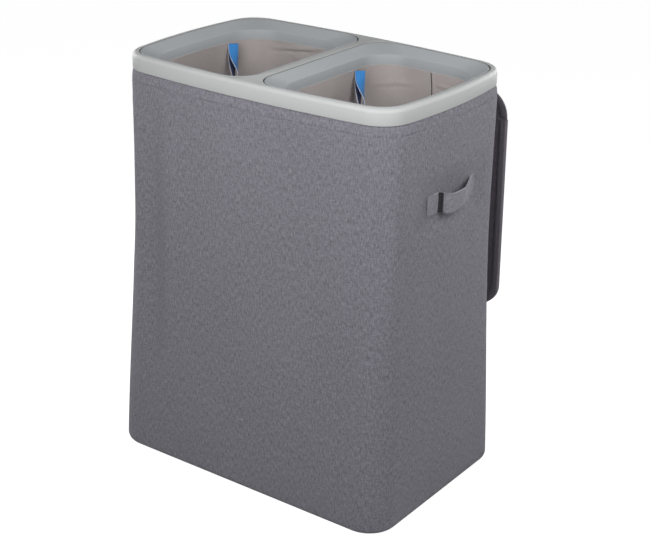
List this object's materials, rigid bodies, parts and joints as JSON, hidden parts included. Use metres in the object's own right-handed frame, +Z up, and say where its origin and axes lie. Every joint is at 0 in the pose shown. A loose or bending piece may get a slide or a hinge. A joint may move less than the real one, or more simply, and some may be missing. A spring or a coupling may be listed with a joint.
{
  "type": "laundry hamper with two bins",
  "caption": "Upright fabric laundry hamper with a moulded rim, lift-out lined bins that hang in it side by side, side carry handles and a hanging hinged lid.",
  "frame": {"origin": "on the floor, under the middle of the rim, at the underside of the bottom panel", "axes": "+Z up, -Y the front long side, +Y the back where the lid hangs, +X the right end"},
  "size_m": [0.6002, 0.4025, 0.725],
  "materials": {
    "rim_plastic": "fine satin moulding",
    "frame_plastic": "fine satin moulding",
    "base_plastic": "plain moulding",
    "clip_plastic": "plain moulding",
    "pole_steel": "smooth grey coating",
    "cover_fabric": "plain weave of grey melange yarn",
    "bag_fabric": "smooth lining cloth",
    "strap_webbing": "woven webbing",
    "lid_fabric": "dark cloth",
    "lid_board": "plain fibreboard"
  },
  "bodies": {
    "hamper": {"bottom_panel": "base_plastic", "base_tray": "base_plastic", "pole_front_left": "pole_steel", "pole_front_right": "pole_steel", "pole_back_left": "pole_steel", "pole_back_right": "pole_steel", "top_rim": "rim_plastic", "outer_cover": "cover_fabric", "cover_hem_strip": "base_plastic", "lid_hinge_tape": "lid_fabric", "left_handle_front_patch": "cover_fabric", "left_handle_back_patch": "cover_fabric", "right_handle_front_patch": "cover_fabric", "right_handle_back_patch": "cover_fabric"},
    "left_bin": {"left_bin_frame": "frame_plastic", "left_bag": "bag_fabric", "left_clip_ring": "clip_plastic"},
    "left_strap": {"left_pull_strap": "strap_webbing"},
    "left_handle": {"left_handle_loop": "cover_fabric"},
    "right_bin": {"right_bin_frame": "frame_plastic", "right_bag": "bag_fabric", "right_clip_ring": "clip_plastic"},
    "right_strap": {"right_pull_strap": "strap_webbing"},
    "right_handle": {"right_handle_loop": "cover_fabric"},
    "hinge_strip": {"lid_hinge_strip": "lid_fabric"},
    "lid": {"lid_board": "lid_board", "lid_outer_fabric": "lid_fabric", "lid_lining_fabric": "lid_fabric", "lid_binding": "lid_fabric"}
  },
  "joints": [
    {"name": "hinge_strip_turn", "type": "hinge", "parent": "hamper", "child": "hinge_strip", "pos_m": [0, 0.18732, 0.678], "axis": [1, 0, 0], "range_deg": [0, 176.52]},
    {"name": "lid_fold", "type": "hinge", "parent": "hinge_strip", "child": "lid", "pos_m": [0, 0.19039, 0.62679], "axis": [1, 0, 0], "range_deg": [0, 91.28]},
    {"name": "left_bin_lift", "type": "slide", "parent": "hamper", "child": "left_bin", "axis": [0, 0, 1], "range_m": [0, 0.7]},
    {"name": "left_strap_swing", "type": "hinge", "parent": "left_bin", "child": "left_strap", "pos_m": [-0.2356, 0.0824, 0.6934], "axis": [-0.7431, -0.6691, 0], "range_deg": [0, 150]},
    {"name": "left_handle_swing", "type": "hinge", "parent": "hamper", "child": "left_handle", "pos_m": [-0.28435, 0, 0.548], "axis": [0, 1, 0], "range_deg": [-10, 20]},
    {"name": "right_bin_lift", "type": "slide", "parent": "hamper", "child": "right_bin", "axis": [0, 0, 1], "range_m": [0, 0.7]},
    {"name": "right_strap_swing", "type": "hinge", "parent": "right_bin", "child": "right_strap", "pos_m": [0.0387, 0.0824, 0.6934], "axis": [-0.7431, -0.6691, 0], "range_deg": [0, 150]},
    {"name": "right_handle_swing", "type": "hinge", "parent": "hamper", "child": "right_handle", "pos_m": [0.28435, 0, 0.548], "axis": [0, -1, 0], "range_deg": [-10, 20]}
  ]
}
